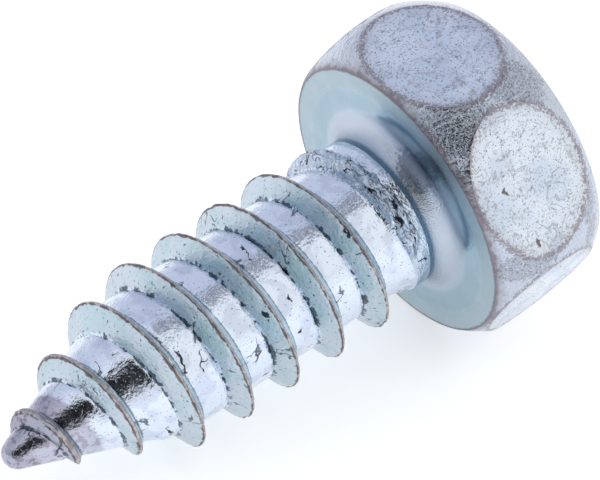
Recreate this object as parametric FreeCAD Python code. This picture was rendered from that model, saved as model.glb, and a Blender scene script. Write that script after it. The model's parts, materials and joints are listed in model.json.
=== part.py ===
import FreeCAD, Part
import math
import os

# Hex head tapping screw with a cone point, one piece of steel wire that was cold headed at one end
# and thread rolled at the other. It is drawn upright on its own axis: bearing face at height 0,
# head above it, point below, one flat of the head facing +X. Depths are measured down from the
# bearing face. Then it is laid down as it comes to rest. Sizes are in millimetres and degrees.

# Head: a hexagon whose corners are rounded off to a barrel, widest at barrel_height
across_flats = 9.78
head_height = 4.5
barrel_height = 1.95
corner_trim = 0.147
bearing_inset = 0.115
top_inset = 0.44
top_chamfer = 0.27

# Neck: the smooth stretch between the bearing face and the thread
neck_diameter = 5.2
neck_fillet = 0.62
neck_length = 0.38
neck_taper = 0.9

# Shank and cone point
length = 15.5
core_diameter = 4.76
point_length = 5.55
tip_radius = 0.5

# Thread: one right-hand ridge that rises from the neck and sinks into the cone
thread_diameter = 6.1
pitch = 1.8
flank_angle = 60.0
crest_land = 0.12
crest_below_flat = 1.576
run_out = 1.6
run_out_land = 0.5
taper_lead = 0.2
cone_ridge_height = 0.34
cone_ridge_land = 0.3
cone_flank_angle = 44.0
fade_length = 0.8
bare_tip = 0.5

# How the ridge is drawn
root_sink = 0.1
points_per_turn = 16

# Sizes that follow from those above
bearing_radius = across_flats / 2 - bearing_inset
top_radius = across_flats / 2 - top_inset
barrel_radius = across_flats / 2 / math.cos(math.radians(30)) - corner_trim
thread_start = neck_fillet + neck_length
full_thread = thread_start + run_out
cone_start = length - point_length
taper_start = cone_start - taper_lead
thread_end = length - bare_tip
fade_start = thread_end - fade_length

up = FreeCAD.Vector(0, 0, 1)
origin = FreeCAD.Vector(0, 0, 0)


def at(radius, height, angle=0.0):
    return FreeCAD.Vector(radius * math.cos(angle), radius * math.sin(angle), height)


def polyline(points):
    return [Part.LineSegment(start, end).toShape() for start, end in zip(points, points[1:])]


def arc(start, middle, end):
    return Part.Arc(start, middle, end).toShape()


def turned(outline):
    return Part.Face(Part.Wire(outline)).revolve(origin, up, 360)


def between(value, low, high, at_low, at_high):
    share = min(max((value - low) / (high - low), 0.0), 1.0)
    return at_low + share * (at_high - at_low)


# Head

def barrel_arc_size(end_radius, rise):
    inward = barrel_radius - end_radius
    return (inward ** 2 + rise ** 2) / (2 * inward)


def barrel_arc(end_radius, end_height):
    # from the widest circle, where the side stands upright, to a smaller circle
    rise = end_height - barrel_height
    size = barrel_arc_size(end_radius, rise)
    half_turn = math.asin(rise / size) / 2
    inward = size * (1 - math.cos(half_turn))
    middle = at(barrel_radius - inward, barrel_height + size * math.sin(half_turn))
    return arc(at(barrel_radius, barrel_height), middle, at(end_radius, end_height))


def flat_edge_height():
    # where the lower barrel arc meets the middle of a flat
    size = barrel_arc_size(bearing_radius, barrel_height)
    inward = barrel_radius - across_flats / 2
    return barrel_height - math.sqrt(size ** 2 - (size - inward) ** 2)


def barrel():
    rim_radius = top_radius + top_chamfer
    rim_height = head_height - top_chamfer / 2
    outline = polyline([origin, at(bearing_radius, 0)])
    outline.append(barrel_arc(bearing_radius, 0))
    outline.append(barrel_arc(rim_radius, rim_height))
    outline += polyline([
        at(rim_radius, rim_height),
        at(top_radius, head_height),
        at(0, head_height),
        origin,
    ])
    return turned(outline)


def hexagon():
    corner_radius = across_flats / 2 / math.cos(math.radians(30))
    corners = [at(corner_radius, 0, math.radians(30 + 60 * number)) for number in range(7)]
    return Part.Face(Part.makePolygon(corners)).extrude(up * head_height)


def head():
    # the barrel's seam is on the side that faces the floor, so a mesh of the head has a corner
    # where the lower edge of the flat touches it
    seam_down = barrel()
    seam_down.rotate(origin, up, 180)
    return hexagon().common(seam_down)


# Neck, core and cone point

def cone_half_angle():
    # the cone leaves the core at its full radius and ends tangent to the round tip
    reach = math.hypot(core_diameter / 2, point_length - tip_radius)
    lean = math.atan2(point_length - tip_radius, core_diameter / 2)
    return math.acos(tip_radius / reach) - lean


def core_radius(depth):
    down_the_cone = max(depth - cone_start, 0.0)
    return core_diameter / 2 - down_the_cone * math.tan(cone_half_angle())


def tip_point(angle):
    # a point of the round tip's outline, at this angle below its widest circle
    return at(tip_radius * math.cos(angle), tip_radius * (1 - math.sin(angle)) - length)


def neck_fillet_point(angle):
    radius = neck_diameter / 2 + neck_fillet * (1 - math.cos(angle))
    return at(radius, neck_fillet * (math.sin(angle) - 1))


def shank():
    quarter = math.radians(90)
    inside_head = head_height / 2
    fillet_start = neck_fillet_point(quarter)
    fillet_end = neck_fillet_point(0)
    tip_start = tip_point(cone_half_angle())
    tip_middle = tip_point((cone_half_angle() + quarter) / 2)
    tip_end = at(0, -length)
    outline = polyline([tip_end, at(0, inside_head), at(fillet_start.x, inside_head), fillet_start])
    outline.append(arc(fillet_start, neck_fillet_point(quarter / 2), fillet_end))
    outline += polyline([
        fillet_end,
        at(neck_diameter / 2, -thread_start),
        at(core_diameter / 2, -thread_start - neck_taper),
        at(core_diameter / 2, -cone_start),
        tip_start,
    ])
    outline.append(arc(tip_start, tip_middle, tip_end))
    return turned(outline)


# Thread

def along_thread(depth, at_neck, full, on_cone):
    # a size of the ridge that changes along the run-out, holds, and changes again on the cone
    if depth < taper_start:
        return between(depth, thread_start, full_thread, at_neck, full)
    return between(depth, taper_start, fade_start, full, on_cone)


def crest_radius(depth):
    on_cone = core_radius(fade_start) + cone_ridge_height
    if depth > fade_start:
        sunk = core_radius(thread_end) - root_sink / 2
        return between(depth, fade_start, thread_end, on_cone, sunk)
    return along_thread(depth, neck_diameter / 2, thread_diameter / 2, on_cone)


def crest_angle(depth):
    return math.tau * (crest_below_flat - depth) / pitch


def ridge_section(depth):
    # corners of the ridge where its middle lies at this depth: root, crest, crest, root
    half_angle = math.radians(along_thread(depth, flank_angle, flank_angle, cone_flank_angle) / 2)
    half_land = along_thread(depth, run_out_land, crest_land, cone_ridge_land) / 2
    crest = crest_radius(depth)
    root = min(core_radius(depth + pitch / 4), crest) - root_sink
    half_root = half_land + (crest - root) * math.tan(half_angle)
    angle = crest_angle(depth)
    return [
        at(root, -half_root - depth, angle),
        at(crest, -half_land - depth, angle),
        at(crest, half_land - depth, angle),
        at(root, half_root - depth, angle),
    ]


def ridge():
    # four helical edges through the corners, joined by ruled faces one turn long
    turns = math.ceil((thread_end - thread_start) / pitch)
    count = turns * points_per_turn
    depths = [between(step, 0, count, thread_start, thread_end) for step in range(count + 1)]
    sections = [ridge_section(depth) for depth in depths]
    tracks = []
    for corner in range(4):
        track = Part.BSplineCurve()
        track.interpolate(Points=[section[corner] for section in sections], Parameters=depths)
        tracks.append(track)
    faces = []
    for first in range(0, count, points_per_turn):
        edges = [track.toShape(depths[first], depths[first + points_per_turn]) for track in tracks]
        for corner in range(4):
            faces.append(Part.makeRuledSurface(edges[corner], edges[(corner + 1) % 4]))
    for section in (sections[0], sections[-1]):
        faces.append(Part.Face(Part.makePolygon(section + section[:1])))
    shell = Part.makeShell(faces)
    shell.sewShape()
    return Part.makeSolid(shell)


def screw():
    return shank().fuse([ridge(), head()])


# Resting place: the lower edge of one flat and one crest of the thread touch the floor

def drop(point, tilt):
    # how far a point is below the axis at the bearing face, once the axis dips towards the point
    # of the screw by tilt and the -X side faces the floor
    return -point.x * math.cos(tilt) - point.z * math.sin(tilt)


def head_drop(tilt):
    return drop(at(-across_flats / 2, flat_edge_height()), tilt)


def shank_drop(tilt):
    lowest = (length - tip_radius) * math.sin(tilt) + tip_radius
    depth = crest_below_flat + pitch / 2
    while depth < thread_end:
        if depth > thread_start:
            lowest = max(lowest, max(drop(corner, tilt) for corner in ridge_section(depth)))
        depth += pitch
    return lowest


def resting_tilt():
    low, high = 0.0, math.radians(45)
    for _ in range(50):
        middle = (low + high) / 2
        if shank_drop(middle) < head_drop(middle):
            low = middle
        else:
            high = middle
    return low


def laid_down(piece):
    # the axis runs along +X with the head end up, and the flat that faced +X faces the ceiling
    tilt = resting_tilt()
    along = FreeCAD.Vector(math.cos(tilt), 0, math.sin(tilt))
    above = FreeCAD.Vector(-math.sin(tilt), 0, math.cos(tilt))
    piece.Placement = FreeCAD.Placement(origin, FreeCAD.Rotation(above, along.cross(above), along, "ZXY"))
    box = piece.optimalBoundingBox(False, False)
    piece.translate(FreeCAD.Vector(-box.Center.x, -box.Center.y, -box.ZMin))
    return piece


def main():
    os.makedirs("parts", exist_ok=True)
    piece = laid_down(screw())
    piece.exportStep("parts/screw.step")
    box = piece.optimalBoundingBox(False, False)
    print("screw lies tilted by", round(math.degrees(resting_tilt()), 2), "degrees")
    print("size", round(box.XLength, 2), round(box.YLength, 2), round(box.ZLength, 2))
    print("volume", round(piece.Volume, 1), "solids", len(piece.Solids), "valid", piece.isValid())


main()
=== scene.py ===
import bpy
import json
import math
from mathutils import Matrix, Vector, noise

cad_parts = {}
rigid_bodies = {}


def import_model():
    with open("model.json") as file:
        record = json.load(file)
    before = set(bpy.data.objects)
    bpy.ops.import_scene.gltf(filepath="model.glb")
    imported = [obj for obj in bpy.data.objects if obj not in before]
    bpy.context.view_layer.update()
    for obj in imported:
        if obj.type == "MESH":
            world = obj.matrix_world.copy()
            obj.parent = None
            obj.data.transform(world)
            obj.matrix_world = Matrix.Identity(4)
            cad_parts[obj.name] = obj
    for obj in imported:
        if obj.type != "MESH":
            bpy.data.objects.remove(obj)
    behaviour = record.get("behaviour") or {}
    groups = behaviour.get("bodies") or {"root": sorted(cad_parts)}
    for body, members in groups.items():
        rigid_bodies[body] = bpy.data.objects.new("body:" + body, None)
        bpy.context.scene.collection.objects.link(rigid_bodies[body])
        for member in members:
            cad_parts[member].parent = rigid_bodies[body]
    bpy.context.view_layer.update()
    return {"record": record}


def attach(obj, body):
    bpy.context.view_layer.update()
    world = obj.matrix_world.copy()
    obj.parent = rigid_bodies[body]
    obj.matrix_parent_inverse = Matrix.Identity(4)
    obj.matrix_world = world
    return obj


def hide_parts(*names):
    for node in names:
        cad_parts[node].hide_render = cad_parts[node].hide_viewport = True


bpy.ops.object.select_all(action="SELECT")
bpy.ops.object.delete()
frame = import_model()
print("the packed screw is loaded")

mm = 0.001
scene = bpy.context.scene
scene.view_settings.view_transform = "Standard"

# the screw's own axis, taken from its mounts: up the axis is towards the top of the head
mounts = {mount["name"]: mount for mount in frame["record"]["mounts"]}
upAxis = Vector(mounts["head_top"]["axis"]).normalized()
flatUp = Vector(mounts["flat_1"]["axis"]).normalized()
headTop = Vector(mounts["head_top"]["pos_m"])
headHeight = (headTop - Vector(mounts["bearing_face"]["pos_m"])).dot(upAxis)
bearingCentre = headTop - upAxis * headHeight
sideways = upAxis.cross(flatUp)
layDown = Matrix.Translation(bearingCentre) @ Matrix((flatUp, sideways, upAxis)).transposed().to_4x4()


# Small helpers

def selectOnly(piece):
    bpy.ops.object.select_all(action="DESELECT")
    piece.select_set(True)
    bpy.context.view_layer.objects.active = piece


def applyModifier(piece, kind, **settings):
    selectOnly(piece)
    modifier = piece.modifiers.new(kind.title(), kind)
    for name, value in settings.items():
        setattr(modifier, name, value)
    bpy.ops.object.modifier_apply(modifier=modifier.name)


def smoothStep(value, low, high):
    share = min(max((value - low) / (high - low), 0.0), 1.0)
    return share * share * (3 - 2 * share)


def mix(share, first, second):
    return first + (second - first) * share


def hexColour(code):
    parts = [int(code[place:place + 2], 16) / 255 for place in (0, 2, 4)]
    linear = [part / 12.92 if part <= 0.04045 else ((part + 0.055) / 1.055) ** 2.4 for part in parts]
    return (*linear, 1.0)


# Camera: where the photograph was taken from, a long lens seen slightly turned

camera = {
    "place": (-71.3, -83.67, 94.7),     # mm
    "aim": (0.85, -0.31, 5.39),         # mm, a point on the line of sight
    "turn": 2.735,                      # degrees, the right side of the picture raised
    "lens": 275.9,                      # mm, on a 36 mm wide sensor
}


def makeCamera():
    bpy.ops.object.camera_add(location=Vector(camera["place"]) * mm)
    photoCamera = bpy.context.object
    photoCamera.name = "photoCamera"
    sight = (Vector(camera["aim"]) - Vector(camera["place"])).normalized()
    level = sight.to_track_quat("-Z", "Y").to_matrix()
    photoCamera.rotation_euler = (level @ Matrix.Rotation(math.radians(camera["turn"]), 3, "Z")).to_euler()
    photoCamera.data.lens = camera["lens"]
    photoCamera.data.sensor_width = 36
    photoCamera.data.clip_start = 0.001
    scene.camera = photoCamera
    print("camera is set")


makeCamera()


# Turned blank: the head's barrel, the face under it, the fillet and the neck, before the flats are
# pressed. It stands upright on its own axis, in millimetres, with the face under the head at 0

blank = {
    "acrossFlats": 9.78,
    "barrelRadius": 5.4995,
    "barrelHeight": 1.95,       # where the barrel is widest
    "faceRadius": 4.775,        # of the face under the head
    "rimRadius": 4.72,
    "rimHeight": 4.365,
    "topRadius": 4.45,
    "neckRadius": 2.6,
    "filletRadius": 0.62,
    "neckEnd": 0.8,             # depth at which the thread's own mesh takes over
    "steps": 240,               # round the axis
    "arcParts": 14,
}


def arcPoints(centre, size, firstAngle, lastAngle, parts):
    points = []
    for part in range(parts + 1):
        angle = mix(part / parts, firstAngle, lastAngle)
        points.append((centre[0] + size * math.cos(angle), centre[1] + size * math.sin(angle)))
    return points


def barrelArc(endRadius, endHeight):
    # from a smaller circle to the widest one, where the side stands upright
    inward = blank["barrelRadius"] - endRadius
    rise = endHeight - blank["barrelHeight"]
    size = (inward ** 2 + rise ** 2) / (2 * inward)
    centre = (blank["barrelRadius"] - size, blank["barrelHeight"])
    return arcPoints(centre, size, math.asin(rise / size), 0, blank["arcParts"])


def drawProfile(name, points):
    # radius and height of each point, drawn by extruding one corner in the XZ plane
    bpy.ops.object.select_all(action="DESELECT")
    bpy.ops.mesh.primitive_plane_add(size=1)
    piece = bpy.context.object
    piece.name = name
    bpy.ops.object.mode_set(mode="EDIT")
    bpy.ops.mesh.select_all(action="SELECT")
    bpy.ops.mesh.merge(type="CENTER")
    bpy.ops.transform.translate(value=(points[0][0], 0, points[0][1]))
    for start, end in zip(points, points[1:]):
        step = (end[0] - start[0], 0, end[1] - start[1])
        bpy.ops.mesh.extrude_vertices_move(TRANSFORM_OT_translate={"value": step})
    bpy.ops.object.mode_set(mode="OBJECT")
    return piece


def faceOutwards(piece):
    selectOnly(piece)
    bpy.ops.object.mode_set(mode="EDIT")
    bpy.ops.mesh.select_all(action="SELECT")
    bpy.ops.mesh.remove_doubles(threshold=0.0005)
    bpy.ops.mesh.normals_make_consistent(inside=False)
    bpy.ops.object.mode_set(mode="OBJECT")


def makeHead():
    fillet = blank["filletRadius"]
    outer = blank["neckRadius"] + fillet
    outline = [(blank["neckRadius"], -blank["neckEnd"]), (blank["neckRadius"], -0.7)]
    outline += arcPoints((outer, -fillet), fillet, math.pi, math.pi / 2, blank["arcParts"])
    outline += [(mix(part / 6, outer, blank["faceRadius"]), 0) for part in range(1, 6)]
    outline += barrelArc(blank["faceRadius"], 0)
    outline += barrelArc(blank["rimRadius"], blank["rimHeight"])[-2::-1]
    outline += [(blank["topRadius"], headHeight / mm), (0, headHeight / mm)]
    head = drawProfile("head", outline)
    applyModifier(head, "SCREW", steps=blank["steps"], render_steps=blank["steps"], use_merge_vertices=True)
    selectOnly(head)
    bpy.ops.object.mode_set(mode="EDIT")
    bpy.ops.mesh.select_all(action="DESELECT")
    bpy.ops.mesh.select_non_manifold()
    bpy.ops.mesh.fill()                                 # a lid on the neck while the flats are cut
    bpy.ops.object.mode_set(mode="OBJECT")
    faceOutwards(head)

    bpy.ops.object.select_all(action="DESELECT")
    cornerRadius = blank["acrossFlats"] / 2 / math.cos(math.radians(30))
    bpy.ops.mesh.primitive_cylinder_add(vertices=6, radius=cornerRadius, depth=12, location=(0, 0, 1))
    hexagon = bpy.context.object
    applyModifier(head, "BOOLEAN", operation="INTERSECT", object=hexagon, solver="EXACT")
    bpy.data.objects.remove(hexagon)
    print("head has", len(head.data.polygons), "faces")
    return head


# Thread, core and cone point: a helical sheet whose every corner knows where it is across the ridge

thread = {
    "pitch": 1.8,
    "belowFlat": 1.576,         # depth of the ridge where it passes the flat that faces up
    "coreRadius": 2.38,
    "crestRadius": 3.05,
    "flankAngle": 60,           # degrees, between the two flanks
    "halfLand": 0.045,
    "start": 1.0,               # depth at which the ridge leaves the neck
    "full": 2.6,
    "startHalfLand": 0.25,
    "neckTaper": 0.9,
    "coneStart": 10.05,
    "taperLead": 0.2,
    "coneHalfAngle": 20.45,     # degrees
    "coneFlankAngle": 44,
    "coneRidge": 0.34,
    "coneHalfLand": 0.11,
    "crestRound": 0.03,         # how much lower the edges of the crest are than its middle
    "coneCrestRound": 0.12,
    "offCentre": 0.12,          # the last turns stand out more on one side
    "offCentreAt": -40,         # degrees
    "offCentreFrom": 8.5,
    "offCentreFull": 11,
    "fadeStart": 14.2,
    "end": 15.0,
    "length": 15.5,
    "tipRadius": 0.5,
    "cutAt": 15.05,             # below this the round tip is modelled
    "turns": 9,
    "stepsPerTurn": 288,
    "landParts": 6,
    "flankParts": 8,
    "rootParts": 6,
}


def between(value, low, high, atLow, atHigh):
    return mix(min(max((value - low) / (high - low), 0.0), 1.0), atLow, atHigh)


def coreRadiusAt(depth):
    if depth < thread["start"] + thread["neckTaper"]:
        lastNeck = thread["start"] + thread["neckTaper"]
        return between(depth, thread["start"], lastNeck, blank["neckRadius"], thread["coreRadius"])
    downTheCone = max(depth - thread["coneStart"], 0.0)
    return thread["coreRadius"] - downTheCone * math.tan(math.radians(thread["coneHalfAngle"]))


def alongThread(depth, atNeck, full, onCone):
    taperStart = thread["coneStart"] - thread["taperLead"]
    if depth < taperStart:
        return between(depth, thread["start"], thread["full"], atNeck, full)
    return between(depth, taperStart, thread["fadeStart"], full, onCone)


def ridgeAt(depth):
    # crest radius, half width of the crest, slope of the flanks and how round the crest is
    onCone = coreRadiusAt(thread["fadeStart"]) + thread["coneRidge"]
    crest = alongThread(depth, blank["neckRadius"], thread["crestRadius"], onCone)
    if depth > thread["fadeStart"]:
        sunk = coreRadiusAt(thread["end"]) - 0.05
        crest = between(depth, thread["fadeStart"], thread["end"], onCone, sunk)
    halfLand = alongThread(depth, thread["startHalfLand"], thread["halfLand"], thread["coneHalfLand"])
    halfAngle = alongThread(depth, thread["flankAngle"], thread["flankAngle"], thread["coneFlankAngle"]) / 2
    rounding = alongThread(depth, 0.0, thread["crestRound"], thread["coneCrestRound"])
    return crest, halfLand, math.tan(math.radians(halfAngle)), rounding


def ridgeProfile():
    # one pitch of the thread, from the middle of one gap to the middle of the next
    halfPitch = thread["pitch"] / 2
    rise = thread["crestRadius"] - thread["coreRadius"]
    halfRoot = thread["halfLand"] + rise * math.tan(math.radians(thread["flankAngle"] / 2))
    corners = [(halfPitch, thread["coreRadius"]), (halfRoot, thread["coreRadius"])]
    corners += [(thread["halfLand"], thread["crestRadius"]), (-thread["halfLand"], thread["crestRadius"])]
    corners += [(-halfRoot, thread["coreRadius"]), (-halfPitch, thread["coreRadius"])]
    parts = [thread["rootParts"], thread["flankParts"], thread["landParts"]]
    parts += [thread["flankParts"], thread["rootParts"]]
    lowest = -thread["belowFlat"] - thread["pitch"] * (thread["turns"] - 1)
    points = [(corners[0][1], lowest - corners[0][0])]
    for (startAlong, startRadius), (endAlong, endRadius), count in zip(corners, corners[1:], parts):
        for part in range(1, count + 1):
            along = mix(part / count, startAlong, endAlong)
            points.append((mix(part / count, startRadius, endRadius), lowest - along))
    return points, halfRoot


# Wear on the thread: how deep, in mm, and the size of what is worn

threadWear = {
    "hammer": 0.014, "hammerSize": 0.5,         # the dents of the rolling dies on the core
    "ragged": 0.016, "raggedSize": 0.2,         # the crest's uneven line
    "nick": 0.045, "nickSize": 0.5,
    "tear": 0.075, "tearSize": 0.3,             # flakes where the thread starts
    "fold": 0.035, "foldSize": 0.3,              # the groove at the foot of the flank
}
# a burr on the cone, in upright mm
flap = {"centre": (-1.02, 1.74, -10.9), "size": 0.34, "rise": 0.11}
threadMarks = (
    "crestWear", "crestLip", "foldLine", "rootShadowLine", "flankTip", "flankHead", "tornStart", "coneEnd")


def wearCorner(place, radius, height, marks):
    # place is in upright mm, before the wear
    wear = threadWear
    outward = wear["hammer"] * noise.noise(place / wear["hammerSize"]) * (1 - marks["crestWear"])
    if marks["crestWear"] > 0:
        ragged = wear["ragged"] * mix(marks["coneEnd"], 1, 3)
        outward -= marks["crestWear"] * ragged * (0.6 + noise.noise(place / wear["raggedSize"]))
        nick = smoothStep(noise.noise(place / wear["nickSize"] + Vector((7, 3, 1))), 0.35, 0.6)
        outward -= marks["crestWear"] * wear["nick"] * nick
        height += marks["crestWear"] * 0.02 * noise.noise(place / wear["raggedSize"] + Vector((0, 9, 4)))
    if marks["foldLine"] > 0:
        deep = 0.35 + 0.65 * smoothStep(noise.noise(place / wear["foldSize"] + Vector((2, 0, 5))), -0.3, 0.4)
        outward -= marks["foldLine"] ** 3 * wear["fold"] * deep
    if marks["tornStart"] > 0:
        squeezed = Vector((place.x, place.y, place.z * 1.8)) / wear["tearSize"]
        lump = noise.noise(squeezed)
        outward += marks["tornStart"] * wear["tear"] * (round(lump * 3) / 3 * 0.6 + lump * 0.4)
        height += marks["tornStart"] * 0.03 * noise.noise(squeezed + Vector((5, 5, 5)))
    if (place - Vector(flap["centre"])).length < flap["size"]:
        reach = (place - Vector(flap["centre"])).length / flap["size"]
        outward += flap["rise"] * smoothStep(1 - reach, 0, 0.6) * (place.z < flap["centre"][2] + 0.16)
    return radius + outward, height


def shapeRidge(sheet, halfRoot):
    # the even helix gets its run-out under the neck, its taper on the cone and its wear
    values = {name: [] for name in threadMarks}
    for corner in sheet.data.vertices:
        x, y, z = corner.co
        angle = math.atan2(y, x)
        onHelix = thread["pitch"] * angle / math.tau - thread["belowFlat"]
        onHelix += thread["pitch"] * round((z - onHelix) / thread["pitch"])
        depth = -onHelix
        across = z - onHelix                            # up from the ridge's middle
        side = math.copysign(1, across)
        crest, halfLand, slope, rounding = ridgeAt(depth)
        if depth > thread["offCentreFrom"]:
            offCentre = math.cos(angle - math.radians(thread["offCentreAt"]))
            offCentre *= smoothStep(depth, thread["offCentreFrom"], thread["offCentreFull"])
            offCentre *= smoothStep(-depth, 0.1 - thread["end"], -thread["fadeStart"])
            crest += thread["offCentre"] * offCentre
        foot = halfRoot
        for _ in range(4):
            foot = halfLand + max(crest - coreRadiusAt(depth - side * foot), 0) * slope
        away = abs(across)
        if away <= thread["halfLand"]:
            newAcross = away / thread["halfLand"] * halfLand
            radius = crest - rounding * (away / thread["halfLand"]) ** 2
        elif away <= halfRoot:
            newAcross = between(away, thread["halfLand"], halfRoot, halfLand, foot)
            radius = crest - (newAcross - halfLand) / slope
            radius -= rounding * (1 - (newAcross - halfLand) / max(foot - halfLand, 0.001))
        else:
            newAcross = between(away, halfRoot, thread["pitch"] / 2, foot, thread["pitch"] / 2)
            radius = 0
        height = onHelix + side * newAcross
        onCore = radius < coreRadiusAt(-height) + 0.001
        radius = max(radius, coreRadiusAt(-height))
        stands = smoothStep(crest - coreRadiusAt(depth), 0.02, 0.15)
        nearCrest = 1 - smoothStep(newAcross, halfLand, halfLand + 0.04)
        marks = {
            "crestWear": stands * nearCrest,
            "crestLip": stands * (side < 0) * (1 - smoothStep(abs(newAcross - halfLand), 0, 0.07)),
            "foldLine": stands * (side < 0) * (1 - smoothStep(abs(newAcross - foot), 0, 0.16)) * mix(
                smoothStep(depth, 1.8, 2.6), 0.5, 1),
            # painted shadow along the foot of the flanks that face the head
            "rootShadowLine": stands * (side > 0) * (1 - smoothStep(abs(newAcross - foot), 0, 0.07)) * smoothStep(
                depth, 2.2, 2.8),
            "flankTip": stands * (side < 0) * (not onCore),
            "flankHead": stands * (side > 0) * (not onCore),
            "tornStart": smoothStep(-height, 0.98, 1.08) * smoothStep(-depth, -2.6, -1.9) * smoothStep(
                depth, 1.1, 1.22) * (1 - smoothStep(newAcross, 0.32, 0.46)),
            "coneEnd": smoothStep(depth, 12.3, 14.6),
        }
        for name in threadMarks:
            values[name].append(float(marks[name]))
        place = Vector((radius * math.cos(angle), radius * math.sin(angle), height))
        radius, height = wearCorner(place, radius, height, marks)
        corner.co = (radius * math.cos(angle), radius * math.sin(angle), height)
    for name in threadMarks:
        sheet.data.attributes.new(name, "FLOAT", "POINT").data.foreach_set("value", values[name])


def cutAcross(piece, height, below):
    # everything below or above this height goes
    selectOnly(piece)
    bpy.ops.object.mode_set(mode="EDIT")
    bpy.ops.mesh.select_all(action="SELECT")
    bpy.ops.mesh.bisect(
        plane_co=(0, 0, height), plane_no=(0, 0, 1), clear_inner=below, clear_outer=not below)
    bpy.ops.object.mode_set(mode="OBJECT")


def selectRing(piece, height):
    # the open edge at this height
    selectOnly(piece)
    bpy.ops.object.mode_set(mode="EDIT")
    bpy.ops.mesh.select_mode(type="EDGE")
    bpy.ops.mesh.select_all(action="DESELECT")
    bpy.ops.mesh.select_non_manifold(
        extend=False, use_wire=False, use_multi_face=False, use_non_contiguous=False)
    bpy.ops.object.mode_set(mode="OBJECT")
    for edge in piece.data.edges:
        ends = [piece.data.vertices[number].co.z for number in edge.vertices]
        edge.select = edge.select and max(abs(end - height) for end in ends) < 0.002
    bpy.ops.object.mode_set(mode="EDIT")


def makeThread():
    points, halfRoot = ridgeProfile()
    sheet = drawProfile("thread", points)
    applyModifier(
        sheet, "SCREW", steps=thread["stepsPerTurn"], render_steps=thread["stepsPerTurn"],
        screw_offset=thread["pitch"], iterations=thread["turns"], use_merge_vertices=True,
        merge_threshold=0.0005)
    faceOutwards(sheet)
    shapeRidge(sheet, halfRoot)
    cutAcross(sheet, -blank["neckEnd"], below=False)
    cutAcross(sheet, -thread["cutAt"], below=True)

    # round tip, ring by ring
    selectRing(sheet, -thread["cutAt"])
    tipCentre = thread["tipRadius"] - thread["length"]
    ringRadius, ringHeight = coreRadiusAt(thread["cutAt"]), -thread["cutAt"]
    first = math.radians(thread["coneHalfAngle"])
    for part in range(8):
        angle = mix(part / 8, first, math.pi / 2)
        radius = thread["tipRadius"] * math.cos(angle)
        height = tipCentre - thread["tipRadius"] * math.sin(angle)
        bpy.ops.mesh.extrude_region_move(TRANSFORM_OT_translate={"value": (0, 0, height - ringHeight)})
        scale = radius / ringRadius
        bpy.ops.transform.resize(value=(scale, scale, 1), center_override=(0, 0, height))
        ringRadius, ringHeight = radius, height
    bpy.ops.mesh.extrude_region_move(
        TRANSFORM_OT_translate={"value": (0, 0, -thread["length"] - ringHeight)})
    bpy.ops.mesh.merge(type="CENTER")
    bpy.ops.object.mode_set(mode="OBJECT")
    print("thread has", len(sheet.data.polygons), "faces")
    return sheet


def makeScrew():
    head = makeHead()
    cutAcross(head, -blank["neckEnd"] + 0.0004, below=True)
    sheet = makeThread()
    bpy.ops.object.select_all(action="DESELECT")
    sheet.select_set(True)
    head.select_set(True)
    bpy.context.view_layer.objects.active = head
    bpy.ops.object.join()
    head.name = "zincPlatedScrew"
    selectRing(head, -blank["neckEnd"])
    bpy.ops.mesh.bridge_edge_loops()
    bpy.ops.object.mode_set(mode="OBJECT")
    faceOutwards(head)
    head.matrix_world = layDown @ Matrix.Scale(mm, 4)
    selectOnly(head)
    bpy.ops.object.transform_apply(location=True, rotation=True, scale=True)
    bpy.ops.object.shade_smooth_by_angle(angle=math.radians(22))
    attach(head, "root")
    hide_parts("screw")
    print("screw has", sum(len(face.vertices) - 2 for face in head.data.polygons), "triangles")
    return head


screw = makeScrew()


# Finishes. The whole screw is steel with a bright zinc plating and a clear bluish passivation. What
# the eye sees depends on how the steel under the plating was formed, so each way has its own finish

def addNode(tree, kind, settings=None, inputs=None):
    node = tree.nodes.new(kind)
    for name, value in (settings or {}).items():
        setattr(node, name, value)
    for socket, source in (inputs or {}).items():
        if isinstance(source, bpy.types.NodeSocket):
            tree.links.new(source, node.inputs[socket])
        else:
            node.inputs[socket].default_value = source
    return node


# Settings that many nodes share
add = {"operation": "ADD"}
subtract = {"operation": "SUBTRACT"}
multiply = {"operation": "MULTIPLY"}
multiplyAdd = {"operation": "MULTIPLY_ADD"}         # socket 0 times socket 1, plus socket 2
larger = {"operation": "MAXIMUM"}
# a Map Range without corners: socket 0 is the value, 1 and 2 are where it starts and ends, 3 and 4
# what it gives there, which is 0 and 1 if left out
eased = {"interpolation_type": "SMOOTHSTEP"}


def startFinish(name, roughness):
    # a bare metal, and the screw's own upright coordinates in millimetres
    material = bpy.data.materials.new(name)
    material.use_nodes = True
    tree = material.node_tree
    shader = tree.nodes["Principled BSDF"]
    shader.inputs["Metallic"].default_value = 1.0
    shader.inputs["Roughness"].default_value = roughness
    upright = layDown.inverted()
    coordinates = addNode(tree, "ShaderNodeTexCoord").outputs["Object"]
    place = addNode(tree, "ShaderNodeMapping", {"vector_type": "POINT"}, {
        "Vector": coordinates, "Location": upright.translation / mm, "Rotation": upright.to_euler(),
        "Scale": (1 / mm, 1 / mm, 1 / mm)}).outputs["Vector"]
    return material, tree, shader, place


def spots(tree, place, size, level, stretch=(1, 1, 1), soft=0.04):
    # patches of about this size in mm, fewer the higher the level
    stretched = addNode(tree, "ShaderNodeVectorMath", multiply, {0: place, 1: stretch})
    grain = addNode(tree, "ShaderNodeTexNoise", {}, {0: stretched.outputs[0], "Scale": 0.5 / size})
    return addNode(tree, "ShaderNodeMapRange", eased, {
        0: grain.outputs[0], 1: level, 2: level + soft}).outputs[0]


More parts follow.
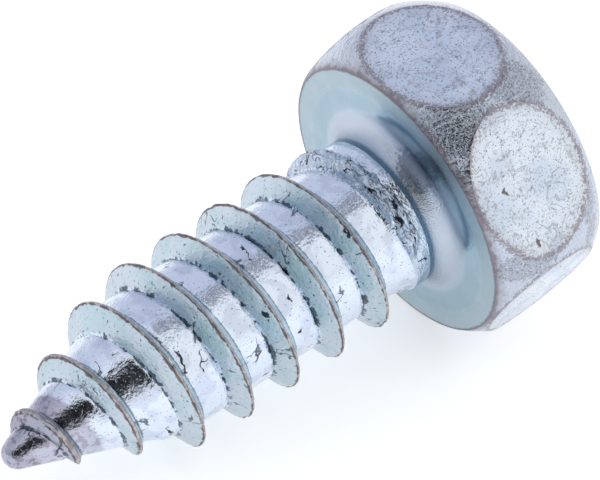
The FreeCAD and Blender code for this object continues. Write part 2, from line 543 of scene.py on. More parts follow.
def hairlines(tree, place, size, width, level, stretch=(1, 1, 1)):
    # thin wandering lines where a slow noise passes its middle, broken where a second noise is low
    stretched = addNode(tree, "ShaderNodeVectorMath", multiply, {0: place, 1: stretch})
    wander = addNode(tree, "ShaderNodeTexNoise", {}, {
        0: stretched.outputs[0], "Scale": 1 / size, "Detail": 3.0, "Distortion": 0.6})
    fromMiddle = addNode(tree, "ShaderNodeMath", subtract, {0: wander.outputs[0], 1: 0.5})
    away = addNode(tree, "ShaderNodeMath", {"operation": "ABSOLUTE"}, {0: fromMiddle.outputs[0]})
    line = addNode(tree, "ShaderNodeMapRange", {}, {
        "Value": away.outputs[0], "From Min": 0.2 * width / size, "From Max": 0.6 * width / size,
        "To Min": 1.0, "To Max": 0.0})
    kept = spots(tree, place, size * 0.7, level)
    return addNode(tree, "ShaderNodeMath", multiply, {
        0: line.outputs["Result"], 1: kept}).outputs[0]


# the outline of a mark: how strongly it is bent, and how many bends and teeth it has in a millimetre
markOutline = {"bend": 0.3, "bendsPerMm": 5.0, "teethPerMm": 9.0}


def mark(tree, place, centre, turn, halfSizes, slant=0):
    # one dent or tear: a ragged oval round this place, turned about the screw's axis, then slanted;
    # its half sizes are outwards, round the axis and along it
    wander = addNode(tree, "ShaderNodeTexNoise", {}, {
        0: place, "Scale": markOutline["bendsPerMm"], "Detail": 1.0}).outputs["Color"]
    bend = markOutline["bend"]
    bent = addNode(tree, "ShaderNodeVectorMath", multiplyAdd, {0: wander, 1: (bend, bend, bend), 2: place})
    start = [number + bend / 2 for number in centre]        # the noise is 0.5 on average
    own = addNode(tree, "ShaderNodeMapping", {"vector_type": "TEXTURE"}, {
        "Vector": bent.outputs[0], "Location": start,
        "Rotation": (math.radians(slant), 0, math.radians(turn)), "Scale": halfSizes})
    ragged = addNode(tree, "ShaderNodeTexNoise", {}, {0: place, "Scale": markOutline["teethPerMm"]})
    reach = addNode(tree, "ShaderNodeVectorMath", {"operation": "LENGTH"}, {0: own.outputs[0]})
    torn = addNode(tree, "ShaderNodeMath", add, {0: reach.outputs["Value"], 1: ragged.outputs[0]})
    return addNode(tree, "ShaderNodeMapRange", eased, {
        0: torn.outputs[0], 1: 1.2, 2: 1.6, 3: 1.0, 4: 0.0}).outputs[0]


def layColours(tree, colour, layers):
    # each colour covers the ones before it where its mask is 1
    colour = hexColour(colour)
    for mask, strength, code in layers:
        part = addNode(tree, "ShaderNodeMath", multiply, {0: mask, 1: strength})
        colour = addNode(tree, "ShaderNodeMix", {"data_type": "RGBA"}, {
            0: part.outputs[0], 6: colour, 7: hexColour(code)}).outputs[2]
    return colour


def layBumps(tree, shader, layers):
    # heights in micrometres, added up
    total = 0.0
    for height, size in layers:
        total = addNode(tree, "ShaderNodeMath", multiplyAdd, {0: height, 1: size, 2: total}).outputs[0]
    bump = addNode(tree, "ShaderNodeBump", {}, {"Height": total, "Distance": 0.000001})
    tree.links.new(bump.outputs["Normal"], shader.inputs["Normal"])


def layRoughness(tree, shader, base, layers):
    # each mask adds to the roughness or takes from it
    total = base
    for mask, change in layers:
        total = addNode(tree, "ShaderNodeMath", multiplyAdd, {0: mask, 1: change, 2: total}).outputs[0]
    tree.links.new(total, shader.inputs["Roughness"])


def fromAxis(tree, place):
    # the direction from the screw's axis to a point, and how far out it is
    outwards = addNode(tree, "ShaderNodeVectorMath", multiply, {0: place, 1: (1, 1, 0)}).outputs[0]
    radius = addNode(tree, "ShaderNodeVectorMath", {"operation": "LENGTH"}, {0: outwards}).outputs["Value"]
    return outwards, radius


def fromBarrel(tree, place):
    # how far inside the barrel's surface a point of a flat is: 0 along the flat's oval border
    parts = addNode(tree, "ShaderNodeSeparateXYZ", {}, {0: place})
    radius = fromAxis(tree, place)[1]
    height = addNode(tree, "ShaderNodeMath", subtract, {
        0: parts.outputs["Z"], 1: blank["barrelHeight"]}).outputs[0]
    lower = addNode(tree, "ShaderNodeMath", {"operation": "LESS_THAN"}, {0: height, 1: 0.0}).outputs[0]
    sizes = []
    for endRadius, endHeight in ((blank["rimRadius"], blank["rimHeight"]), (blank["faceRadius"], 0)):
        inward = blank["barrelRadius"] - endRadius
        sizes.append((inward ** 2 + (endHeight - blank["barrelHeight"]) ** 2) / (2 * inward))
    size = addNode(tree, "ShaderNodeMath", multiplyAdd, {
        0: lower, 1: sizes[1] - sizes[0], 2: sizes[0]}).outputs[0]
    sizeSquared = addNode(tree, "ShaderNodeMath", multiply, {0: size, 1: size}).outputs[0]
    heightSquared = addNode(tree, "ShaderNodeMath", multiply, {0: height, 1: height}).outputs[0]
    under = addNode(tree, "ShaderNodeMath", subtract, {0: sizeSquared, 1: heightSquared}).outputs[0]
    reach = addNode(tree, "ShaderNodeMath", {"operation": "SQRT"}, {0: under}).outputs[0]
    centre = addNode(tree, "ShaderNodeMath", subtract, {0: blank["barrelRadius"], 1: size}).outputs[0]
    barrel = addNode(tree, "ShaderNodeMath", add, {0: centre, 1: reach}).outputs[0]
    return addNode(tree, "ShaderNodeMath", subtract, {0: barrel, 1: radius}).outputs[0]


def fromFlat(tree, place):
    # how far inside the nearest flat's plane a point of the barrel is: 0 along the flat's border
    parts = addNode(tree, "ShaderNodeSeparateXYZ", {}, {0: place})
    radius = fromAxis(tree, place)[1]
    angle = addNode(tree, "ShaderNodeMath", {"operation": "ARCTAN2"}, {
        0: parts.outputs["Y"], 1: parts.outputs["X"]})
    folded = addNode(tree, "ShaderNodeMath", {"operation": "WRAP"}, {
        0: angle.outputs[0], 1: math.radians(30), 2: math.radians(-30)}).outputs[0]
    cosine = addNode(tree, "ShaderNodeMath", {"operation": "COSINE"}, {0: folded}).outputs[0]
    reach = addNode(tree, "ShaderNodeMath", multiply, {0: radius, 1: cosine}).outputs[0]
    return addNode(tree, "ShaderNodeMath", subtract, {0: blank["acrossFlats"] / 2, 1: reach}).outputs[0]


# Flats: pressed smooth by the die, then tumbled with thousands of others. Bright bluish zinc with
# fine dark scratches and specks, and a thin brown line of wear along the border

pressedFlat = {
    "plating": "e1ebf6",
    "cloud": "cddaea", "cloudSize": 0.7,            # mm, as are all sizes here
    "scratch": "8d8388", "scratchSize": 0.45, "scratchWidth": 0.022,
    "speck": "5f5658", "speckSize": 0.03,
    "worn": "8b7d81", "wornWidth": 0.13, "crumbSize": 0.035,
    "raggedPerMm": 5.0, "wavesPerMm": 1.1,          # how many in a millimetre
    "grainPerMm": 9.0,          # the plating's own grain is too fine to show, so this one is coarser
    "gouge": "6b5a50",
    "gouges": [((2.5, 4.2, 1.15), (0.3, 0.2, 0.06)), ((0.78, 5.19, 1.47), (0.3, 0.17, 0.05))],
    "roughness": 0.24,
}


def makePressedFlat():
    finish = pressedFlat
    material, tree, shader, place = startFinish("pressedZincFlat", finish["roughness"])
    inside = fromBarrel(tree, place)
    ragged = addNode(tree, "ShaderNodeTexNoise", {}, {
        0: place, "Scale": finish["raggedPerMm"], "Detail": 4.0}).outputs[0]
    band = addNode(tree, "ShaderNodeMapRange", eased, {
        0: inside, 1: 0.0, 2: finish["wornWidth"], 3: 0.32, 4: 0.0}).outputs[0]
    crumbs = addNode(tree, "ShaderNodeTexNoise", {}, {
        0: place, "Scale": 0.5 / finish["crumbSize"], "Detail": 3.0}).outputs[0]
    broken = addNode(tree, "ShaderNodeMath", multiplyAdd, {0: ragged, 1: 0.7, 2: crumbs}).outputs[0]
    edge = addNode(tree, "ShaderNodeMath", add, {0: broken, 1: band}).outputs[0]
    worn = addNode(tree, "ShaderNodeMapRange", eased, {0: edge, 1: 1.0, 2: 1.12}).outputs[0]
    nearEdge = addNode(tree, "ShaderNodeMapRange", eased, {
        0: inside, 1: 0.0, 2: 0.3, 3: 0.6, 4: 0.0}).outputs[0]
    clouds = spots(tree, place, finish["cloudSize"], 0.42, soft=0.25)
    scratches = hairlines(tree, place, finish["scratchSize"], finish["scratchWidth"], 0.45)
    fineScratches = hairlines(tree, place, finish["scratchSize"] * 0.5, finish["scratchWidth"] * 0.6, 0.5)
    specks = spots(tree, place, finish["speckSize"], 0.61)
    layers = [
        (clouds, 0.8, finish["cloud"]), (nearEdge, 0.35, finish["worn"]),
        (scratches, 0.45, finish["scratch"]), (fineScratches, 0.3, finish["scratch"]),
        (specks, 0.6, finish["speck"]), (worn, 0.65, finish["worn"])]
    dents = []
    for centre, halfSizes in finish["gouges"]:
        gouge = mark(tree, place, centre, 60, halfSizes)
        layers.append((gouge, 0.9, finish["gouge"]))
        dents.append((gouge, -12))
    tree.links.new(layColours(tree, finish["plating"], layers), shader.inputs["Base Color"])
    waves = addNode(tree, "ShaderNodeTexNoise", {}, {
        0: place, "Scale": finish["wavesPerMm"], "Detail": 1.0}).outputs[0]
    grain = addNode(tree, "ShaderNodeTexNoise", {}, {
        0: place, "Scale": finish["grainPerMm"], "Detail": 3.0}).outputs[0]
    layRoughness(tree, shader, finish["roughness"], [(clouds, 0.08), (specks, 0.2), (worn, 0.15)])
    layBumps(tree, shader, [(waves, 16), (grain, 4), (specks, -2), (scratches, -2)] + dents)
    return material


# Barrel: the corners between the flats, which the die leaves grainy. Matt grey with dark pits and
# pale crumbs, and a brown film where the edges rub

forgedBarrel = {
    "plating": "c2cad7",
    "torn": "858d99",
    "film": "8c878f",
    "pit": "4a474f", "pitSize": 0.035,
    "crumb": "dcdad2", "crumbSize": 0.045,
    "worn": "857a81", "wornWidth": 0.14,
    "raggedPerMm": 3.0, "crumbledPerMm": 14.0, "lumpsPerMm": 3.5, "grainPerMm": 7.0,
    "roughPatches": [           # corners that came out roughest
        ((4.15, 2.4, 0.9), 30, (1.2, 1.25, 1.3)), ((4.4, 2.55, 3.3), 30, (1.2, 1.0, 1.1)),
        ((0.25, 5.2, 0.9), 87, (1.2, 0.6, 1.2)),
    ],
    "roughness": 0.22,
}


def makeForgedBarrel():
    finish = forgedBarrel
    material, tree, shader, place = startFinish("forgedZincBarrel", finish["roughness"])
    inside = fromFlat(tree, place)
    height = addNode(tree, "ShaderNodeSeparateXYZ", {}, {0: place}).outputs["Z"]
    ragged = addNode(tree, "ShaderNodeTexNoise", {}, {
        0: place, "Scale": finish["raggedPerMm"], "Detail": 4.0}).outputs[0]
    rough = spots(tree, place, 1.1, 0.56, soft=0.1)
    for centre, turn, halfSizes in finish["roughPatches"]:
        torn = mark(tree, place, centre, turn, halfSizes)
        rough = addNode(tree, "ShaderNodeMath", larger, {0: torn, 1: rough}).outputs[0]
    rough = addNode(tree, "ShaderNodeMath", larger, {0: rough, 1: 0.3}).outputs[0]
    crumbled = addNode(tree, "ShaderNodeTexNoise", {}, {
        0: place, "Scale": finish["crumbledPerMm"], "Detail": 3.0}).outputs[0]
    band = addNode(tree, "ShaderNodeMapRange", eased, {
        0: inside, 1: 0.0, 2: finish["wornWidth"], 3: 0.3, 4: 0.0}).outputs[0]
    broken = addNode(tree, "ShaderNodeMath", multiplyAdd, {0: ragged, 1: 0.6, 2: crumbled}).outputs[0]
    edge = addNode(tree, "ShaderNodeMath", add, {0: broken, 1: band}).outputs[0]
    worn = addNode(tree, "ShaderNodeMapRange", eased, {0: edge, 1: 0.95, 2: 1.1}).outputs[0]
    foot = addNode(tree, "ShaderNodeMath", multiplyAdd, {0: ragged, 1: -0.25, 2: height}).outputs[0]
    film = addNode(tree, "ShaderNodeMapRange", eased, {0: foot, 1: -0.1, 2: 0.22, 3: 1.0, 4: 0.0}).outputs[0]
    rim = addNode(tree, "ShaderNodeMapRange", eased, {0: foot, 1: -0.1, 2: 0.0, 3: 1.0, 4: 0.0}).outputs[0]
    pits = spots(tree, place, finish["pitSize"], 0.57)
    pits = addNode(tree, "ShaderNodeMath", multiply, {0: pits, 1: rough}).outputs[0]
    crumbs = spots(tree, place, finish["crumbSize"], 0.6)
    crumbs = addNode(tree, "ShaderNodeMath", multiply, {0: crumbs, 1: rough}).outputs[0]
    dull = addNode(tree, "ShaderNodeMapRange", eased, {0: rough, 1: 0.3, 2: 1.0}).outputs[0]
    layers = [
        (dull, 0.45, finish["torn"]), (film, 0.55, finish["film"]), (crumbs, 0.6, finish["crumb"]),
        (pits, 0.55, finish["pit"]), (worn, 0.7, finish["worn"]), (rim, 0.85, finish["worn"])]
    tree.links.new(layColours(tree, finish["plating"], layers), shader.inputs["Base Color"])
    lumps = addNode(tree, "ShaderNodeTexNoise", {}, {
        0: place, "Scale": finish["lumpsPerMm"], "Detail": 2.0}).outputs[0]
    grain = addNode(tree, "ShaderNodeTexNoise", {}, {
        0: place, "Scale": finish["grainPerMm"], "Detail": 3.0}).outputs[0]
    grain = addNode(tree, "ShaderNodeMath", multiply, {0: grain, 1: rough}).outputs[0]
    layRoughness(tree, shader, finish["roughness"], [(film, 0.14), (worn, 0.1), (rough, -0.1)])
    layBumps(tree, shader, [(lumps, 22), (grain, 62), (pits, -4)])
    return material


# Under the head: the face, the fillet and the neck, smooth from the heading die. Satin grey-cyan, partly
# a painted reflection, with painted reflection on the ring and fillet, painted shade on the neck, fine
# streaks down the fillet and a brown rim

headedFace = {
    # partly painted reflection: the face's own satin grey-cyan, made darker to stand for the shadowed floor
    # that it reflects
    "plating": "adc2c9",
    "cloud": "c2d0d6",
    "paintedReflectionRing": "6f94b0",           # painted reflection: a bluish ring on the middle of the face that deepens the dark band reflected there
    "pale": "bfced6",
    "fillet": "bfc5d6",
    "shade": "47536b",          # painted reflection: a dark patch that deepens the dark reflection on the fillet, on the side at this place
    "paintedReflectionPlace": ((2.5, 1.5, -0.25), 31, (0.5, 1.0, 0.5)),
    # painted shade: a dark blue band on the neck just under the fillet
    "neck": "50708f",
    "rim": "7a7077", "rimFrom": 4.66,
    "speck": "6f8088", "speckSize": 0.05,
    "streakSize": 0.05, "streakAt": 2.8,            # the streaks are this wide at this radius
    "raggedPerMm": 6.0, "crumbsPerMm": 24.0, "wavesPerMm": 1.2, "grainPerMm": 12.0,
    "roughness": 0.26,
}


def makeHeadedFace():
    finish = headedFace
    material, tree, shader, place = startFinish("headedZincFace", finish["roughness"])
    parts = addNode(tree, "ShaderNodeSeparateXYZ", {}, {0: place})
    outwards, radius = fromAxis(tree, place)
    ragged = addNode(tree, "ShaderNodeTexNoise", {}, {
        0: place, "Scale": finish["raggedPerMm"], "Detail": 3.0}).outputs[0]
    edge = addNode(tree, "ShaderNodeMath", multiplyAdd, {0: ragged, 1: 0.1, 2: radius}).outputs[0]
    rim = addNode(tree, "ShaderNodeMapRange", eased, {
        0: edge, 1: finish["rimFrom"] + 0.06, 2: finish["rimFrom"] + 0.14}).outputs[0]
    fillet = addNode(tree, "ShaderNodeMapRange", eased, {0: radius, 1: 3.5, 2: 3.0}).outputs[0]
    # painted reflection: the dark patch on the fillet
    shade = mark(tree, place, *finish["paintedReflectionPlace"])
    # painted shade on the neck under the head
    neck = addNode(tree, "ShaderNodeMapRange", eased, {0: parts.outputs["Z"], 1: -0.55, 2: -0.68}).outputs[0]
    specks = spots(tree, place, finish["speckSize"], 0.69)
    clouds = spots(tree, place, 0.5, 0.45, soft=0.2)
    # the ring of painted reflection, which is also made less rough
    ringInside = addNode(tree, "ShaderNodeMapRange", eased, {0: radius, 1: 3.2, 2: 3.4}).outputs[0]
    ringOutside = addNode(tree, "ShaderNodeMapRange", eased, {0: radius, 1: 4.25, 2: 3.9}).outputs[0]
    paintedReflectionRing = addNode(tree, "ShaderNodeMath", multiply, {0: ringInside, 1: ringOutside}).outputs[0]
    pale = addNode(tree, "ShaderNodeMapRange", eased, {0: radius, 1: 4.1, 2: 4.4}).outputs[0]
    layers = [(clouds, 0.35, finish["cloud"]), (paintedReflectionRing, 0.3, finish["paintedReflectionRing"]), (pale, 0.5, finish["pale"]),
              (fillet, 0.7, finish["fillet"]), (shade, 0.6, finish["shade"]),
              (neck, 0.85, finish["neck"]), (specks, 0.6, finish["speck"]), (rim, 0.8, finish["rim"])]
    tree.links.new(layColours(tree, finish["plating"], layers), shader.inputs["Base Color"])
    unit = addNode(tree, "ShaderNodeVectorMath", {"operation": "NORMALIZE"}, {0: outwards}).outputs[0]
    streaks = addNode(tree, "ShaderNodeTexNoise", {}, {
        0: unit, "Scale": finish["streakAt"] / finish["streakSize"] * 0.7, "Detail": 3.0}).outputs[0]
    crumbs = addNode(tree, "ShaderNodeTexNoise", {}, {
        0: place, "Scale": finish["crumbsPerMm"], "Detail": 2.0}).outputs[0]
    faint = addNode(tree, "ShaderNodeMath", multiply, {0: streaks, 1: 0.3}).outputs[0]
    broken = addNode(tree, "ShaderNodeMath", multiplyAdd, {0: crumbs, 1: 3.4, 2: faint}).outputs[0]
    onFillet = addNode(tree, "ShaderNodeMath", multiply, {0: broken, 1: fillet}).outputs[0]
    waves = addNode(tree, "ShaderNodeTexNoise", {}, {
        0: place, "Scale": finish["wavesPerMm"], "Detail": 1.0}).outputs[0]
    grain = addNode(tree, "ShaderNodeTexNoise", {}, {
        0: place, "Scale": finish["grainPerMm"], "Detail": 2.0}).outputs[0]
    # duller towards the rim
    outer = addNode(tree, "ShaderNodeMapRange", eased, {0: radius, 1: 3.9, 2: 4.4}).outputs[0]
    layRoughness(tree, shader, finish["roughness"], [(outer, 0.2), (fillet, -0.14), (paintedReflectionRing, -0.14)])
    layBumps(tree, shader, [(waves, 7), (grain, 2), (onFillet, 6)])
    return material


# Thread and point: rolled, so the core is hammered bright, the flanks are satin, those facing the head
# painted paler as a sheen, the crest is a brown seam, the foot of each flank facing the point has a dark
# fold, the foot of each facing the head a painted shadow line, and the thread starts torn under the neck

rolledThread = {
    "plating": "dfe9f8",
    "cloud": "c3cde0", "cloudSize": 0.35,
    # backFlankSheen: the flanks facing the head are painted paler and more cyan than those facing the point,
    # a painted sheen
    "flank": "c3cfd8", "flankCloud": "b3ccd3", "backFlankSheen": "c9dde3",
    "crest": "a39a9b", "crestLight": "d3ccc8", "lip": "5f5052",
    # root: painted shadow along the foot of the flanks that face the head
    "fold": "29404c", "root": "3f6870",
    "crack": "34363f", "crackSize": 0.8, "crackWidth": 0.03,
    "pit": "57525c", "pitSize": 0.035,
    "flankPit": "2c4347", "flankPitSize": 0.06,
    "torn": "bac6da", "tear": "181b24", "curlSize": 0.46, "flake": "eff5f8",
    "tip": "9d95a8", "tipStain": "73656f",
    "raggedPerMm": 7.0, "slowPerMm": 2.2, "hammeredPerMm": 3.0, "grainPerMm": 11.0, "roughPerMm": 5.0,
    "tears": [                      # degrees round the axis, radius, depth, slant in degrees, half sizes
        (50, 2.38, 9.85, -3, (0.4, 0.5, 0.05)), (58, 2.38, 9.28, -12, (0.2, 0.4, 0.03)),
        (59, 2.38, 9.18, 80, (0.2, 0.14, 0.025)), (78, 2.38, 7.46, -15, (0.3, 0.52, 0.022)),
        (108.7, 2.38, 7.23, 85, (0.2, 0.2, 0.045)), (111.9, 2.38, 5.44, 85, (0.2, 0.16, 0.04)),
        (10, 2.38, 6.03, -11, (0.2, 0.45, 0.02)), (56, 2.38, 5.77, 5, (0.2, 0.18, 0.04)),
        (85, 2.38, 5.8, -45, (0.2, 0.16, 0.035)), (53, 2.84, 6.88, 15, (0.2, 0.2, 0.05)),
        (40.5, 3.0, 3.25, 0, (0.14, 0.2, 0.07)), (115, 2.1, 10.75, 20, (0.3, 0.45, 0.05)),
        (89, 2.62, 1.12, 75, (0.3, 0.22, 0.04)), (53, 2.66, 1.42, -6, (0.2, 0.24, 0.09)),
        (41.6, 2.7, 1.29, 10, (0.2, 0.15, 0.08)), (25, 2.7, 1.62, 20, (0.2, 0.12, 0.08)),
        (-36, 2.65, 1.97, 70, (0.2, 0.14, 0.04)), (3, 2.72, 1.75, 30, (0.2, 0.13, 0.05)),
    ],
    "roughness": 0.15,
}


def makeRolledThread():
    finish = rolledThread
    material, tree, shader, place = startFinish("rolledZincThread", finish["roughness"])
    marks = {}
    for name in threadMarks:
        marks[name] = addNode(tree, "ShaderNodeAttribute", {"attribute_name": name}).outputs["Fac"]
    onCone = marks["coneEnd"]
    ragged = addNode(tree, "ShaderNodeTexNoise", {}, {
        0: place, "Scale": finish["raggedPerMm"], "Detail": 3.0}).outputs[0]
    slow = addNode(tree, "ShaderNodeTexNoise", {}, {
        0: place, "Scale": finish["slowPerMm"], "Detail": 1.0}).outputs[0]
    crestEdge = addNode(tree, "ShaderNodeMath", multiplyAdd, {
        0: ragged, 1: 0.7, 2: marks["crestWear"]}).outputs[0]
    ridgeOnly = addNode(tree, "ShaderNodeMath", subtract, {0: crestEdge, 1: marks["tornStart"]}).outputs[0]
    gaps = addNode(tree, "ShaderNodeMapRange", eased, {0: slow, 1: 0.6, 2: 0.4}).outputs[0]
    gaps = addNode(tree, "ShaderNodeMath", multiply, {0: onCone, 1: gaps}).outputs[0]
    crest = addNode(tree, "ShaderNodeMapRange", eased, {0: ridgeOnly, 1: 1.1, 2: 1.25}).outputs[0]
    crest = addNode(tree, "ShaderNodeMath", multiplyAdd, {0: gaps, 1: -0.9, 2: crest}).outputs[0]
    crest = addNode(tree, "ShaderNodeMath", larger, {0: crest, 1: 0.0}).outputs[0]
    lipEdge = addNode(tree, "ShaderNodeMath", multiplyAdd, {
        0: ragged, 1: 1.2, 2: marks["crestLip"]}).outputs[0]
    lipOnly = addNode(tree, "ShaderNodeMath", subtract, {0: lipEdge, 1: marks["tornStart"]}).outputs[0]
    lipBroken = addNode(tree, "ShaderNodeMath", multiplyAdd, {0: slow, 1: 1.6, 2: lipOnly}).outputs[0]
    lip = addNode(tree, "ShaderNodeMapRange", eased, {0: lipBroken, 1: 2.08, 2: 2.28}).outputs[0]
    crestLight = addNode(tree, "ShaderNodeMath", multiply, {
        0: crest, 1: spots(tree, place, 0.09, 0.52)}).outputs[0]
    foldEdge = addNode(tree, "ShaderNodeMath", multiplyAdd, {
        0: slow, 1: 1.2, 2: marks["foldLine"]}).outputs[0]
    foldRagged = addNode(tree, "ShaderNodeMath", multiplyAdd, {0: ragged, 1: 1.2, 2: foldEdge}).outputs[0]
    fold = addNode(tree, "ShaderNodeMapRange", eased, {0: foldRagged, 1: 2.0, 2: 2.2}).outputs[0]
    # painted shadow along the foot of the flanks that face the head
    rootShadowEdge = addNode(tree, "ShaderNodeMath", add, {0: ragged, 1: marks["rootShadowLine"]}).outputs[0]
    root = addNode(tree, "ShaderNodeMapRange", eased, {0: rootShadowEdge, 1: 1.1, 2: 1.3}).outputs[0]
    clouds = spots(tree, place, finish["cloudSize"], 0.5, soft=0.12)
    cracks = hairlines(tree, place, finish["crackSize"], finish["crackWidth"], 0.6, (1, 1, 0.6))
    pits = spots(tree, place, finish["pitSize"], 0.66)
    flankPits = addNode(tree, "ShaderNodeMath", multiply, {
        0: spots(tree, place, finish["flankPitSize"], 0.67), 1: marks["flankTip"]}).outputs[0]
    flankClouds = addNode(tree, "ShaderNodeMath", multiply, {
        0: spots(tree, place, 0.4, 0.48, soft=0.12), 1: marks["flankTip"]}).outputs[0]
    stains = addNode(tree, "ShaderNodeMath", multiply, {
        0: spots(tree, place, 0.12, 0.52, soft=0.08), 1: onCone}).outputs[0]
    parts = addNode(tree, "ShaderNodeSeparateXYZ", {}, {0: place})
    turned = addNode(tree, "ShaderNodeMath", {"operation": "ARCTAN2"}, {
        0: parts.outputs["Y"], 1: parts.outputs["X"]}).outputs[0]
    smoothEnd = addNode(tree, "ShaderNodeMapRange", eased, {
        0: turned, 1: math.radians(88), 2: math.radians(68)}).outputs[0]
    ragsHere = addNode(tree, "ShaderNodeMath", multiply, {0: smoothEnd, 1: marks["tornStart"]}).outputs[0]
    curl = addNode(tree, "ShaderNodeVectorMath", multiply, {0: place, 1: (1, 1, 1.7)}).outputs[0]
    curls = addNode(tree, "ShaderNodeTexNoise", {}, {
        0: curl, "Scale": 1 / finish["curlSize"], "Detail": 1.5}).outputs[0]
    rings = addNode(tree, "ShaderNodeMath", {"operation": "PINGPONG"}, {0: curls, 1: 0.09}).outputs[0]
    ringLine = addNode(tree, "ShaderNodeMapRange", eased, {0: rings, 1: 0.02, 2: 0.008}).outputs[0]
    thin = addNode(tree, "ShaderNodeMath", multiply, {
        0: ringLine, 1: spots(tree, place, 0.16, 0.49, soft=0.06)}).outputs[0]
    tearsHere = addNode(tree, "ShaderNodeMath", multiply, {0: thin, 1: ragsHere}).outputs[0]
    flakes = addNode(tree, "ShaderNodeMath", multiply, {
        0: spots(tree, place, 0.09, 0.57, (1, 1, 2)), 1: ragsHere}).outputs[0]
    tornMarks = []
    for turn, radius, depth, slant, halfSizes in finish["tears"]:
        centre = (radius * math.cos(math.radians(turn)), radius * math.sin(math.radians(turn)), -depth)
        tornMarks.append(mark(tree, place, centre, turn, halfSizes, slant))
    layers = [
        (clouds, 0.6, finish["cloud"]), (marks["flankTip"], 0.9, finish["flank"]),
        # the flanks facing the head get a painted sheen
        (flankClouds, 0.6, finish["flankCloud"]), (marks["flankHead"], 0.9, finish["backFlankSheen"]),
        (onCone, 0.75, finish["tip"]), (stains, 0.55, finish["tipStain"]),
        (marks["tornStart"], 0.8, finish["torn"]), (flakes, 0.6, finish["flake"]),
        (pits, 0.6, finish["pit"]), (flankPits, 0.8, finish["flankPit"]), (cracks, 0.8, finish["crack"]),
        (root, 0.7, finish["root"]), (fold, 0.85, finish["fold"]), (crest, 0.8, finish["crest"]),
        (crestLight, 0.7, finish["crestLight"]), (lip, 0.8, finish["lip"]),
        (tearsHere, 0.95, finish["tear"])]
    layers += [(torn, 0.95, finish["tear"]) for torn in tornMarks]
    tree.links.new(layColours(tree, finish["plating"], layers), shader.inputs["Base Color"])
    hammered = addNode(tree, "ShaderNodeTexNoise", {}, {
        0: place, "Scale": finish["hammeredPerMm"], "Detail": 2.0}).outputs[0]
    grain = addNode(tree, "ShaderNodeTexNoise", {}, {
        0: place, "Scale": finish["grainPerMm"], "Detail": 3.0}).outputs[0]
    rough = addNode(tree, "ShaderNodeTexNoise", {}, {
        0: place, "Scale": finish["roughPerMm"], "Detail": 4.0}).outputs[0]
    roughHere = addNode(tree, "ShaderNodeMath", multiply, {0: rough, 1: ragsHere}).outputs[0]
    folded = addNode(tree, "ShaderNodeMath", multiply, {0: rings, 1: ragsHere}).outputs[0]
    layRoughness(tree, shader, finish["roughness"], [
        (marks["flankTip"], 0.16), (marks["flankHead"], 0.1), (crest, 0.2), (pits, 0.2),
        (marks["tornStart"], 0.05), (onCone, 0.06)])
    layBumps(tree, shader, [
        (hammered, 24), (grain, 14), (cracks, -6), (pits, -3), (roughHere, 5), (tearsHere, -14),
        (folded, 190)])
    return material


def dressScrew():
    # each face gets its finish by its place on the upright screw
    screw.data.materials.clear()
    for material in (makePressedFlat(), makeForgedBarrel(), makeHeadedFace(), makeRolledThread()):
        screw.data.materials.append(material)
    upright = layDown.inverted()
    for face in screw.data.polygons:
        centre = upright @ face.center / mm
        normal = upright.to_3x3() @ face.normal
        away = math.hypot(centre.x, centre.y)
        sector = round(math.degrees(math.atan2(centre.y, centre.x)) / 60) * math.radians(60)
        toFlat = Vector((math.cos(sector), math.sin(sector), 0))
        if centre.z < -blank["neckEnd"]:
            face.material_index = 3
        elif centre.z < 0.01:
            face.material_index = 2
        elif normal.dot(toFlat) > 0.9995 or (normal.z > 0.99 and away < blank["topRadius"]):
            face.material_index = 0
        else:
            face.material_index = 1
    print("finishes are on")


dressScrew()


# Studio: a white floor under a white tent, which is open where the camera looks in

studio = {
    "floorSize": 600,           # mm
    "openingSpread": 26,        # degrees, from the middle of the opening to its edge
    "tentWhite": "ffffff",
    "greyerSides": [            # direction, cosines where it starts and where it is full, colour
        ((0.25, 0.59, 0.77), 0.45, 0.85, "d3d7e6"),         # behind and above
        ((-0.98, 0.0, -0.18), 0.35, 0.8, "ccd5dc"),         # where the point of the screw looks
    ],
    "openingLight": 0.03,       # what is left of the tent's light in the opening
    "beside": (-0.76, -0.35, 0.55), "besideLight": 0.05,    # a second, smaller opening
    "top": (0.21, -0.07, 0.975), "topLight": 0.35,          # a darker place, for the smudges on the core
    "floorLift": 0.5,           # how much whiter the paper looks in the picture than the lamps make it
}


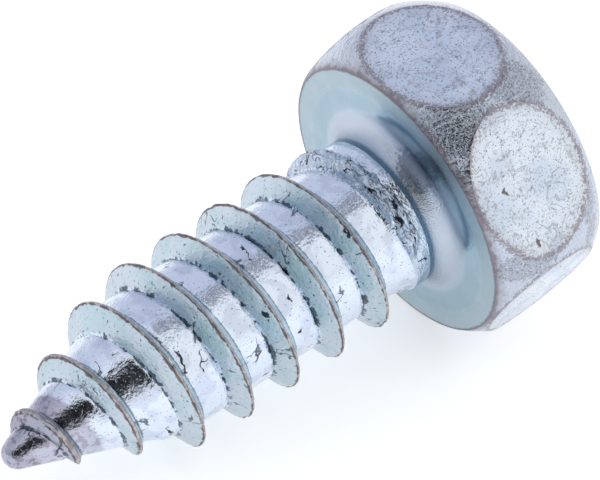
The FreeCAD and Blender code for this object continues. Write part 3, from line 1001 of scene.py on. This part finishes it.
def makeTent():
    world = bpy.data.worlds.new("whiteTent")
    scene.world = world
    world.use_nodes = True
    tree = world.node_tree
    tree.nodes.clear()
    direction = addNode(tree, "ShaderNodeTexCoord").outputs["Generated"]
    colour = hexColour(studio["tentWhite"])
    for towards, low, high, code in studio["greyerSides"]:
        facing = addNode(tree, "ShaderNodeVectorMath", {"operation": "DOT_PRODUCT"}, {
            0: direction, 1: towards})
        shade = addNode(tree, "ShaderNodeMapRange", eased, {
            0: facing.outputs["Value"], 1: low, 2: high}).outputs[0]
        colour = addNode(tree, "ShaderNodeMix", {"data_type": "RGBA"}, {
            0: shade, 6: colour, 7: hexColour(code)}).outputs[2]
    toCamera = (Vector(camera["place"]) - Vector(camera["aim"])).normalized()
    facing = addNode(tree, "ShaderNodeVectorMath", {"operation": "DOT_PRODUCT"}, {0: direction, 1: toCamera})
    edge = math.cos(math.radians(studio["openingSpread"]))
    opening = addNode(tree, "ShaderNodeMapRange", eased, {
        0: facing.outputs["Value"], 1: edge - 0.04, 2: edge + 0.03,
        3: 1.0, 4: studio["openingLight"]}).outputs[0]
    beside = addNode(tree, "ShaderNodeVectorMath", {"operation": "DOT_PRODUCT"}, {
        0: direction, 1: studio["beside"]})
    besideOpening = addNode(tree, "ShaderNodeMapRange", eased, {
        0: beside.outputs["Value"], 1: 0.93, 2: 0.98, 3: 1.0, 4: studio["besideLight"]}).outputs[0]
    opening = addNode(tree, "ShaderNodeMath", multiply, {0: opening, 1: besideOpening}).outputs[0]
    top = addNode(tree, "ShaderNodeVectorMath", {"operation": "DOT_PRODUCT"}, {
        0: direction, 1: studio["top"]})
    topShade = addNode(tree, "ShaderNodeMapRange", eased, {
        0: top.outputs["Value"], 1: 0.965, 2: 0.995, 3: 1.0, 4: studio["topLight"]}).outputs[0]
    dimmed = addNode(tree, "ShaderNodeMath", multiply, {0: opening, 1: topShade}).outputs[0]
    path = addNode(tree, "ShaderNodeLightPath")
    seen = addNode(tree, "ShaderNodeMath", larger, {
        0: path.outputs["Is Camera Ray"], 1: path.outputs["Is Transmission Ray"]})
    strength = addNode(tree, "ShaderNodeMix", {}, {0: seen.outputs[0], 2: dimmed, 3: 1.0}).outputs[0]
    shown = addNode(tree, "ShaderNodeMix", {"data_type": "RGBA"}, {
        0: seen.outputs[0], 6: colour, 7: hexColour(studio["tentWhite"])}).outputs[2]
    background = addNode(tree, "ShaderNodeBackground", {}, {"Color": shown, "Strength": strength})
    addNode(tree, "ShaderNodeOutputWorld", {}, {"Surface": background.outputs["Background"]})
    print("tent is up")


def makeFloor():
    bpy.ops.object.select_all(action="DESELECT")
    bpy.ops.mesh.primitive_plane_add(size=studio["floorSize"] * mm)
    floor = bpy.context.object
    floor.name = "floor"
    material = bpy.data.materials.new("whitePaperFloor")
    material.use_nodes = True
    tree = material.node_tree
    shader = tree.nodes["Principled BSDF"]
    shader.inputs["Base Color"].default_value = hexColour("fcfcfc")
    shader.inputs["Roughness"].default_value = 1.0
    shader.inputs["Specular IOR Level"].default_value = 0.0
    path = addNode(tree, "ShaderNodeLightPath")
    seen = addNode(tree, "ShaderNodeMath", larger, {
        0: path.outputs["Is Camera Ray"], 1: path.outputs["Is Glossy Ray"]})
    seenAtAll = addNode(tree, "ShaderNodeMath", larger, {
        0: seen.outputs[0], 1: path.outputs["Is Transmission Ray"]})
    lift = addNode(tree, "ShaderNodeMath", multiply, {0: seenAtAll.outputs[0], 1: studio["floorLift"]})
    shader.inputs["Emission Color"].default_value = hexColour("ffffff")
    tree.links.new(lift.outputs[0], shader.inputs["Emission Strength"])
    floor.data.materials.append(material)
    print("floor is laid")


makeTent()
makeFloor()
